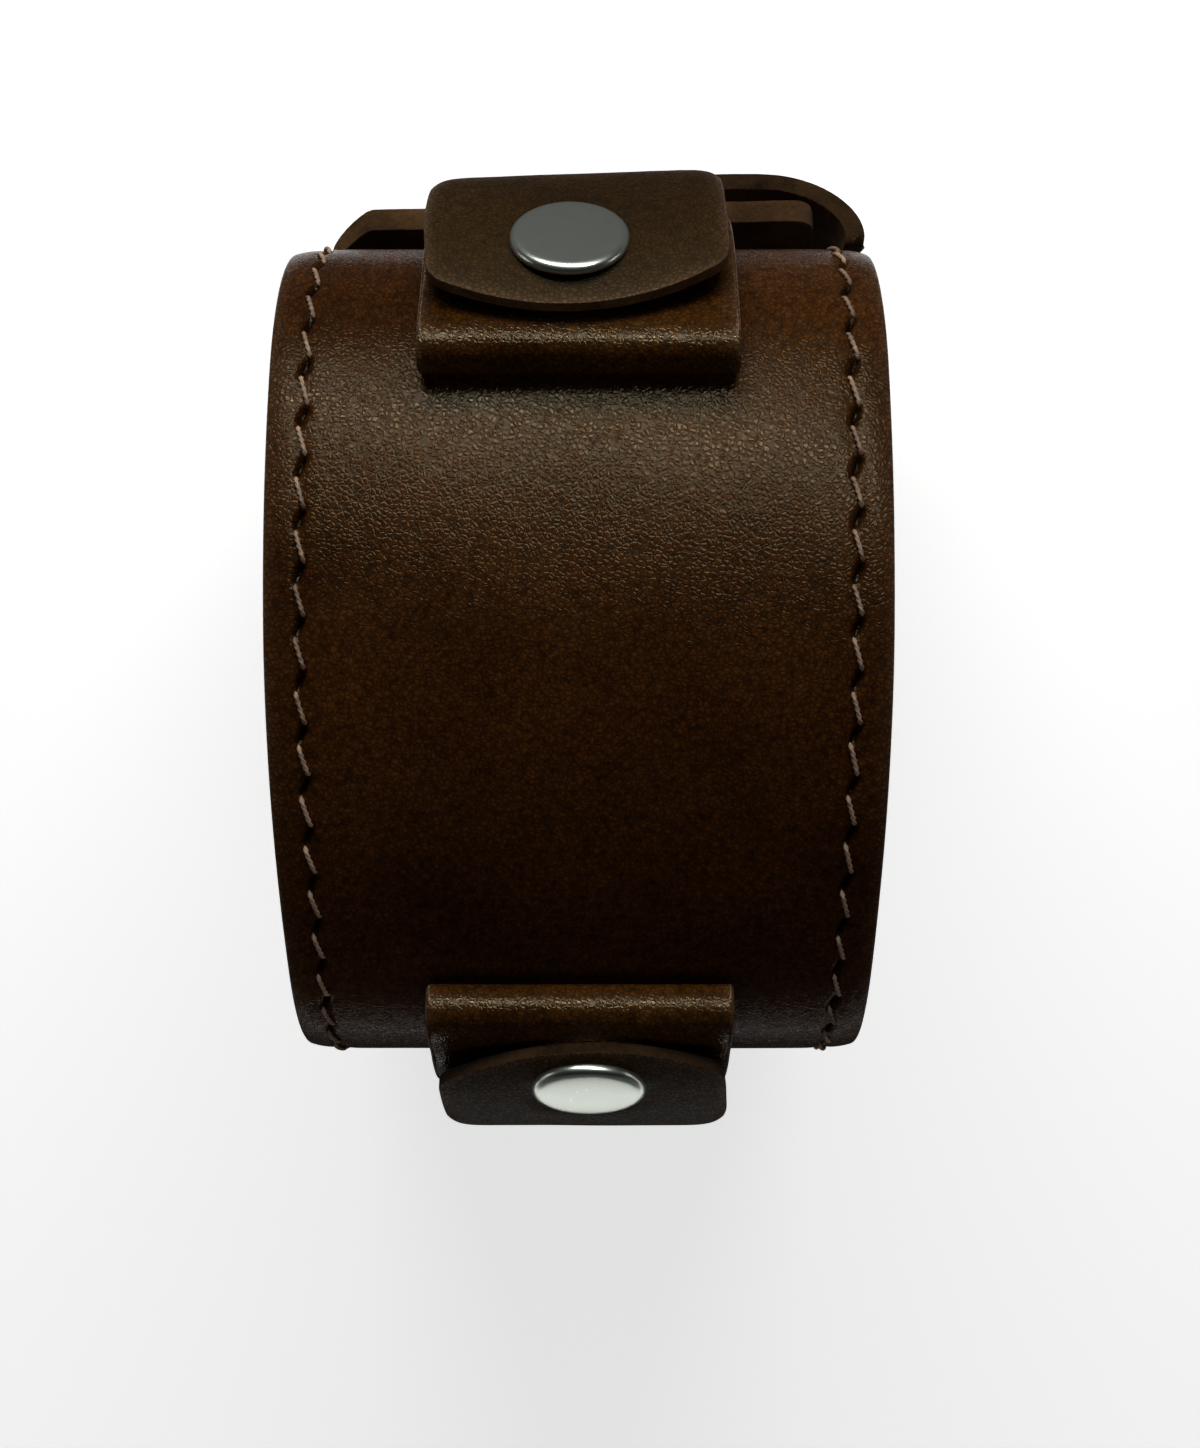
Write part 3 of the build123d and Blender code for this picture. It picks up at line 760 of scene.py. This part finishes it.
# Cuff lining: thin soft leather glued to the flesh side of the cuff and caught by both rows of
# stitches. It covers the backs of the snaps and of the rivets.
cuff_lining = 1.2 * mm
soft_lining = grain_leather("lining_leather", 3.0, dark=(0.030, 0.016, 0.008), light=(0.048, 0.027, 0.014),
                            dullest=0.8, glossiest=0.62)
lining_plain_stop, lining_rounding = 24 * mm, 0.25 * mm
lining_columns = both_sides(
    spread((0, lining_plain_stop, 1.2 * mm), (lining_plain_stop, cuff_half_width, edge_step))
)
lining_row_step = 0.8 * mm
lining_bend = Bend(oval_line(split_angle - 360, underlap_angle, lambda angle: -cuff_leather - glue_line))
bm = cut_leather(lining_columns, round(lining_bend.length / lining_row_step), cuff_lining - glue_line,
                 lambda x: 0.0, lambda x: lining_bend.length, lining_rounding, open_end=0.0)
rolled_edges(bm)
lining = shown("cuff_lining_leather", bent(bm, lining_bend.place), soft_lining, cut_edge, soft_lining)
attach(lining, "cuff")
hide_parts("cuff_lining")

# Loop straps: one strap at 12 and one at 6 o'clock, folded round the watch's spring bar with the
# grain outwards and held between the cuff and the flap by the rivet. The fold stays round.
strap_half_width = 13.0 * mm
strap_leather = 1.35 * mm
bar_tunnel_radius = 0.8 * mm
strap_parting = 0.15 * mm
ring_angles = {"top": 28.5, "bottom": 32.0}
neck_angle = 16.0
upper_layer_end_angle = 84.0
strap_end_angle = 108.0
ring_radius = bar_tunnel_radius + strap_leather
upper_layer_top = 2 * strap_leather + strap_parting


def at_side(side, point):
    """A point worked out for 12 o'clock, at its own loop. The lower loop is the same turned round."""
    return point if side == "top" else Vector((-point.x, 2 * oval_y - point.y, point.z))


def around(centre, radius, start, stop, step=6.0):
    """Points on an arc in the side view, between two facing angles."""
    count = math.ceil(abs(stop - start) / step)
    turns = [math.radians(start + (stop - start) * number / count) for number in range(1, count)]
    return [(centre[0] + radius * math.sin(turn), centre[1] + radius * math.cos(turn)) for turn in turns]


def strap_line(ring_angle):
    """The strap's grain side, from its riveted end round the fold to the end of the upper layer."""
    def neck(angle):
        share = ease((angle - ring_angle) / neck_angle)
        return 2 * ring_radius + (upper_layer_top - 2 * ring_radius) * share
    lower = oval_line(strap_end_angle, ring_angle, lambda angle: glue_line)
    fold = around(spot(ring_angle, ring_radius), ring_radius, ring_angle + 180, ring_angle + 360)
    upper = oval_line(ring_angle, upper_layer_end_angle, neck)
    return lower + fold + upper


loop_chestnut = grain_leather("loop_grain", 2.0, dark=(0.044, 0.0150, 0.0022),
                              light=(0.078, 0.0300, 0.0052), dullest=0.27, glossiest=0.11)
strap_plain_stop, strap_edge_step = 11.8 * mm, 0.24 * mm
strap_columns = both_sides(
    spread((0, strap_plain_stop, 0.7 * mm), (strap_plain_stop, strap_half_width, strap_edge_step))
)
strap_row_step, strap_rounding = 0.42 * mm, 0.3 * mm
for side, ring_angle in ring_angles.items():
    strap_bend = Bend(strap_line(ring_angle))
    bm = cut_leather(strap_columns, round(strap_bend.length / strap_row_step), strap_leather,
                     lambda x: 0.0, lambda x: strap_bend.length, strap_rounding)
    waved(bm, size=4 * mm, amount=0.03 * mm, seed=11)
    bent(bm, lambda *flat: at_side(side, strap_bend.place(*flat)))
    strap = shown(f"{side}_loop_strap", bm, loop_chestnut, cut_edge, flesh_side)
    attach(strap, "cuff")
    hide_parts(f"{side}_strap")

# Flaps: one chestnut leather each, coloured about half as light as the cuff leather; that darkness is
# painted shade.
# The root is riveted behind the loop, the rest bends over the loop and its round tip snaps down. The tips
# are cut by hand with a raw edge, a little askew.
flap_half_width = 12.2 * mm
flap_leather = 1.6 * mm
flap_clearance = 0.3 * mm
flap_tip_radius = 21.5 * mm
flap_tip_skew = math.radians(3.4)
flap_bend_angle = 79.0
flap_step_angle = 97.0
flap_root_corner_radius = 1.5 * mm
rivet_angle = 101.0
rivet_level = strap_leather + flap_leather
flap_tips = {"top": 32.7, "bottom": 35.0}
flap_springs = {"top": 1.8 * mm, "bottom": 2.4 * mm}
snap_angles = {"top": 48.0, "bottom": 46.5}
snap_tilt = 3.5
snap_shift = -0.75 * mm
cap_radius = 4.9 * mm
flap_tip_level = 2 * ring_radius + flap_clearance + flap_leather
flap_leans = {"top": 0.035, "bottom": 0.0}
flap_edge_drop = 0.9 * mm
flap_left_flare = 0.8 * mm
tip_settling = 0.5 * mm
tip_corner = 1.3 * mm
thin_tip, thin_length = 0.70, 3.0 * mm
flap_edge_sharpness = 14
tip_reach, root_reach = 14 * mm, 12 * mm
root_softness = 0.3
bend_before, bend_after = 11.0, 9.0
cap_mark, cap_mark_fade = -0.12 * mm, 1.7 * mm
rivet_seat_radius, rivet_seat_fade, rivet_seat_depth = 3.7 * mm, 2.0 * mm, 0.05 * mm


def flap_grain(side):
    """Height of the flap's grain side along it."""
    bend_level = upper_layer_top + flap_clearance + flap_springs[side] + flap_leather

    def height(angle):
        over = ramp(angle, flap_tips[side], flap_bend_angle, flap_tip_level - tip_settling, bend_level)
        step = ramp(angle, upper_layer_end_angle, flap_step_angle, 0, rivet_level - bend_level,
                    softness=root_softness)
        return over + step
    return height


def seat(side, angle, level, x=0.0, tilt=0.0):
    """Place and direction of a fastener's axis on the grain side of a loop."""
    facing = math.radians(angle + tilt)
    direction = Vector((0, math.sin(facing), math.cos(facing)))
    origin = at_side(side, Vector((x, *spot(angle, level))))
    if side == "bottom":
        direction.y = -direction.y
    return origin, direction


def cap_seat(side):
    """Place and direction of a flap's snap cap."""
    angle = snap_angles[side]
    return seat(side, angle, flap_grain(side)(angle), snap_shift, snap_tilt)


def flap_tip(x):
    """Where the round tip starts, across the flap. Its corners are taken off a little."""
    centre_x = -flap_tip_radius * math.sin(flap_tip_skew)
    centre_along = flap_tip_radius * math.cos(flap_tip_skew)
    corner = max((abs(x) - flap_half_width) / tip_corner + 1, 0)
    return (centre_along - math.sqrt(flap_tip_radius ** 2 - (x - centre_x) ** 2)
            + tip_corner * (1 - math.sqrt(1 - min(corner, 1) ** 2)))


# Painted shade: the flap leather's colours are about half those of the cuff leather.
flap_shaded_chestnut = grain_leather("flap_shaded_grain", 5.0, dark=(0.021, 0.0088, 0.0014),
                              light=(0.040, 0.0180, 0.0033), dullest=0.62, glossiest=0.42)
# Painted light: the top flap's cut edges are coloured about three times as light as the bottom flap's, on an
# edge the lamps leave in shade.
top_edge_painted_light = raw_leather("top_edge_painted_light", dark=(0.027, 0.0125, 0.0036), light=(0.145, 0.074, 0.026),
                        scale=1700.0, depth=0.15 * mm, fluff=0.0)
flap_edges = {"top": top_edge_painted_light, "bottom": cut_edge}
flap_plain_stop = 11 * mm
flap_columns = both_sides(
    spread((0, flap_plain_stop, 0.5 * mm), (flap_plain_stop, flap_half_width, strap_edge_step))
)
flap_row_step, flap_rounding = 0.4 * mm, 0.42 * mm
for side in ring_angles:
    flap_bend = Bend(oval_line(flap_tips[side], strap_end_angle, flap_grain(side)))
    root_cut = rounded_end(flap_root_corner_radius, flap_half_width)
    bm = cut_leather(flap_columns, round(flap_bend.length / flap_row_step), flap_leather, flap_tip,
                     lambda x: flap_bend.length - root_cut(x), flap_rounding)
    for vertex in bm.verts:
        from_tip = vertex.co.y - flap_tip(vertex.co.x)
        vertex.co.z *= thin_tip + (1 - thin_tip) * ease(from_tip / thin_length)
    waved(bm, size=5 * mm, amount=0.04 * mm, seed=17)

    def leaned(x, along, height):
        """Where the flap bends it stands higher on one side, is wider on the left and its edges drop."""
        share = ease(along / tip_reach) * ease((flap_bend.length - along) / root_reach)
        across = x / flap_half_width
        height += (flap_leans[side] * x - flap_edge_drop * across ** flap_edge_sharpness) * share
        return at_side(side, flap_bend.place(x + min(across, 0) * flap_left_flare * share, along, height))

    bent(bm, leaned)
    origin, direction = cap_seat(side)
    pressed(bm, origin, direction, cap_radius, cap_mark_fade,
            lambda depth: cap_mark if depth < 0.5 else None, only_down=True)
    origin, direction = seat(side, rivet_angle, rivet_level)
    pressed(bm, origin, direction, rivet_seat_radius, rivet_seat_fade,
            lambda depth: -rivet_seat_depth - depth * flap_leather)
    flap = shown(f"{side}_loop_flap", bm, flap_shaded_chestnut, flap_edges[side], flesh_side)
    bend_start = at_side(side, Vector((0, *spot(flap_bend_angle + bend_before, upper_layer_top))))
    bend_end = at_side(side, Vector((0, *spot(flap_bend_angle - bend_after, upper_layer_top))))
    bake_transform(flap, "cuff", f"{side}_flap", bend_start, bend_end)
    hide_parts(f"{side}_flap", f"{side}_flap_root")

# Snap caps: pressed brass with a satin nickel plate, a shallow crown and a rolled rim. The barrel
# behind each cap is spread into the socket under the flap.
most_polished, most_marked = 0.008, 0.012


def plated(name, colour, roughness, scratch):
    """Nickel plate with faint marks of wear."""
    material = clean_material(name)
    tree = material.node_tree
    coords = put(tree, "ShaderNodeTexCoord")
    haze = put(tree, "ShaderNodeTexNoise", {"Vector": coords.outputs["Object"], "Scale": 900.0,
                                            "Detail": 5.0, "Roughness": 0.7})
    marks = put(tree, "ShaderNodeTexNoise", {"Vector": coords.outputs["Object"], "Scale": 260.0,
                                             "Detail": 8.0, "Roughness": 0.8, "Distortion": 2.0})
    rough = put(tree, "ShaderNodeMapRange", {"Value": marks.outputs["Fac"], "From Min": 0.35,
                                             "From Max": 0.65, "To Min": roughness - most_polished,
                                             "To Max": roughness + most_marked})
    bump = put(tree, "ShaderNodeBump", {"Height": haze.outputs["Fac"], "Distance": scratch,
                                        "Strength": 0.3})
    metal = put(tree, "ShaderNodeBsdfPrincipled", {
        "Base Color": (*colour, 1), "Metallic": 1.0, "Roughness": rough.outputs[0],
        "Normal": bump.outputs[0],
    })
    put(tree, "ShaderNodeOutputMaterial", {"Surface": metal.outputs[0]})
    return material


satin_nickel = plated("satin_nickel", colour=(0.64, 0.69, 0.61), roughness=0.28, scratch=0.006 * mm)
plain_nickel = plated("plain_nickel", colour=(0.50, 0.50, 0.47), roughness=0.38, scratch=0.01 * mm)


def turned(name, profile, origin, direction, material, steps=96):
    """Round piece turned from its profile, given as radius and height, and set on its seat."""
    bm = bmesh.new()
    chain = [bm.verts.new((radius, 0, height)) for radius, height in profile]
    edges = [bm.edges.new(pair) for pair in zip(chain, chain[1:])]
    bmesh.ops.spin(bm, geom=chain + edges, cent=(0, 0, 0), axis=(0, 0, 1), angle=math.tau, steps=steps,
                   use_merge=True)
    bmesh.ops.remove_doubles(bm, verts=bm.verts[:], dist=0.001 * mm)
    bmesh.ops.recalc_face_normals(bm, faces=bm.faces[:])
    turn = Vector((0, 0, 1)).rotation_difference(direction).to_matrix().to_4x4()
    bmesh.ops.transform(bm, matrix=Matrix.Translation(origin) @ turn, verts=bm.verts[:])
    return shown(name, bm, material)


cap_profile = [(radius * mm, height * mm) for radius, height in (
    (0, 0.75), (1.4, 0.746), (2.6, 0.735), (3.5, 0.715), (4.0, 0.695), (4.22, 0.68), (4.4, 0.65),
    (4.58, 0.585), (4.72, 0.49), (4.82, 0.37), (4.88, 0.22), (4.9, 0.05), (4.88, -0.12), (4.8, -0.24),
    (4.65, -0.28), (3.0, -0.28), (0, -0.28),
)]
for side in ring_angles:
    cap = turned(f"{side}_cap", cap_profile, *cap_seat(side), satin_nickel)
    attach(cap, f"{side}_flap")
    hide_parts(f"{side}_snap_cap")

# Rivets: double cap rivets of plated brass, set through the flap's root, the strap and the cuff.
# Their domed caps show behind the loops, and the lining covers their backs.
rivet_profile = [(radius * mm, height * mm) for radius, height in (
    (0, 0.90), (0.9, 0.885), (1.7, 0.83), (2.4, 0.72), (2.95, 0.56), (3.3, 0.38), (3.52, 0.18),
    (3.6, 0.0), (3.57, -0.18), (3.4, -0.3), (0, -0.3),
)]
for side in ring_angles:
    rivet = turned(f"{side}_rivet", rivet_profile, *seat(side, rivet_angle, rivet_level), satin_nickel,
                   steps=72)
    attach(rivet, "cuff")
    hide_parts(f"{side}_rivet_cap")

# Sockets, studs, posts and the caps of the closure: turned and pressed brass, spread or riveted
# through the leather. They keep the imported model's shapes. The posts have a plainer nickel plate.
plates = {"closing_snap_caps": satin_nickel, "closing_snap_sockets": satin_nickel,
          "closing_snap_studs": satin_nickel, "closing_snap_posts": plain_nickel}
for side in ring_angles:
    plates.update({f"{side}_snap_socket": satin_nickel, f"{side}_snap_stud": satin_nickel,
                   f"{side}_snap_post": plain_nickel, f"{side}_rivet_post": plain_nickel})
for node, plate in plates.items():
    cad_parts[node].data.materials.clear()
    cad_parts[node].data.materials.append(plate)

# Stitching: waxed two-ply thread, natural beige, sewn by hand with an awl. It shows on the grain
# side between the slits and, on the cuff, again on the inside.
thread_radius = 0.18 * mm
thread_half_length = 1.42 * mm
thread_lean = 0.28
thread_rings = 20
thread_sides = 8
ply_twist = math.radians(960)
ply_depth = 0.32
thread_end_sharpness = 9
thread_rise_share = 0.7
thread_dive, dive_sharpness = 0.5 * mm, 5


def waxed_thread(name):
    """Beige thread, darker where dirt sits in its fibres."""
    material = clean_material(name)
    tree = material.node_tree
    coords = put(tree, "ShaderNodeTexCoord")
    fibres = put(tree, "ShaderNodeTexNoise", {"Vector": coords.outputs["Object"], "Scale": 2600.0,
                                              "Detail": 4.0, "Roughness": 0.7})
    soiled = put(tree, "ShaderNodeTexNoise", {"Vector": coords.outputs["Object"], "Scale": 240.0,
                                              "Detail": 2.0})
    mixed = put(tree, "ShaderNodeMath", {0: fibres.outputs["Fac"], 1: soiled.outputs["Fac"]},
                operation="ADD")
    share = put(tree, "ShaderNodeMapRange", {"Value": mixed.outputs[0], "From Min": 0.8,
                                             "From Max": 1.2})
    colour = put(tree, "ShaderNodeMix", {0: share.outputs[0], 6: (0.165, 0.088, 0.045, 1),
                                         7: (0.48, 0.31, 0.185, 1)}, data_type="RGBA")
    bump = put(tree, "ShaderNodeBump", {"Height": fibres.outputs["Fac"], "Distance": 0.05 * mm})
    strand = put(tree, "ShaderNodeBsdfPrincipled", {
        "Base Color": colour.outputs[2], "Roughness": 0.75, "Normal": bump.outputs[0],
    })
    put(tree, "ShaderNodeOutputMaterial", {"Surface": strand.outputs[0]})
    return material


beige_thread = waxed_thread("beige_thread")
thread_seed = 20
thread_sink_share = 0.75
drift_along, drift_across = 0.08 * mm, 0.05 * mm
shortest_stitch, longest_stitch = 0.95, 1.04


def one_stitch():
    """Mesh of one visible stitch, flat, at the origin: its two ends dive into the leather."""
    bm = bmesh.new()
    bmesh.ops.create_grid(bm, x_segments=thread_sides, y_segments=thread_rings, size=0.5)
    for vertex in bm.verts:
        turn, share = math.tau * vertex.co.x, 2 * vertex.co.y
        ply = 1 + ply_depth * math.cos(2 * (turn - ply_twist * share / 2))
        radius = thread_radius * ply * math.sqrt(max(1 - abs(share) ** thread_end_sharpness, 0))
        along = thread_half_length * share
        rise = thread_radius * thread_rise_share - thread_dive * abs(share) ** dive_sharpness
        vertex.co = (-thread_lean * along + radius * math.cos(turn), along, rise + radius * math.sin(turn))
    bmesh.ops.remove_doubles(bm, verts=bm.verts[:], dist=0.002 * mm)
    bmesh.ops.recalc_face_normals(bm, faces=bm.faces[:])
    mesh = bpy.data.meshes.new("stitch")
    bm.to_mesh(mesh)
    bm.free()
    return mesh


def sewn(place, first, count, level, inside=False):
    """Both rows of stitches between slits, laid along a bend at a height above its line."""
    stitch = one_stitch()
    bm = bmesh.new()
    hand = random.Random(thread_seed)
    for row in (-stitch_row, stitch_row):
        for number in range(count):
            known = len(bm.verts)
            bm.from_mesh(stitch)
            bm.verts.ensure_lookup_table()
            middle = first + (number + 0.5) * stitch_pitch + hand.uniform(-drift_along, drift_along)
            sideways = row + hand.uniform(-drift_across, drift_across)
            stretch = hand.uniform(shortest_stitch, longest_stitch)
            for vertex in bm.verts[known:]:
                x, along, height = vertex.co
                if inside:
                    x, height = -x, -height
                vertex.co = place(sideways + x, middle + along * stretch, level + height)
    bmesh.ops.recalc_face_normals(bm, faces=bm.faces[:])
    bpy.data.meshes.remove(stitch)
    return bm


groove_level = -thread_sink_share * groove_depth
inside_level = -cuff_leather - cuff_lining
thread_levels = {"outer": (groove_level, False), "inner": (inside_level, True)}
for name, (level, inside) in thread_levels.items():
    bm = sewn(cuff_bend.place, cuff_first_slit, cuff_slits, level, inside)
    thread = shown(f"cuff_thread_{name}", bm, beige_thread)
    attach(thread, "cuff")
bm = sewn(band_place, band_first_slit, band_slits, groove_level)
band_thread = shown("band_thread", bm, beige_thread)
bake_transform(band_thread, "cuff", "closing_band", hinge_start, hinge_end)
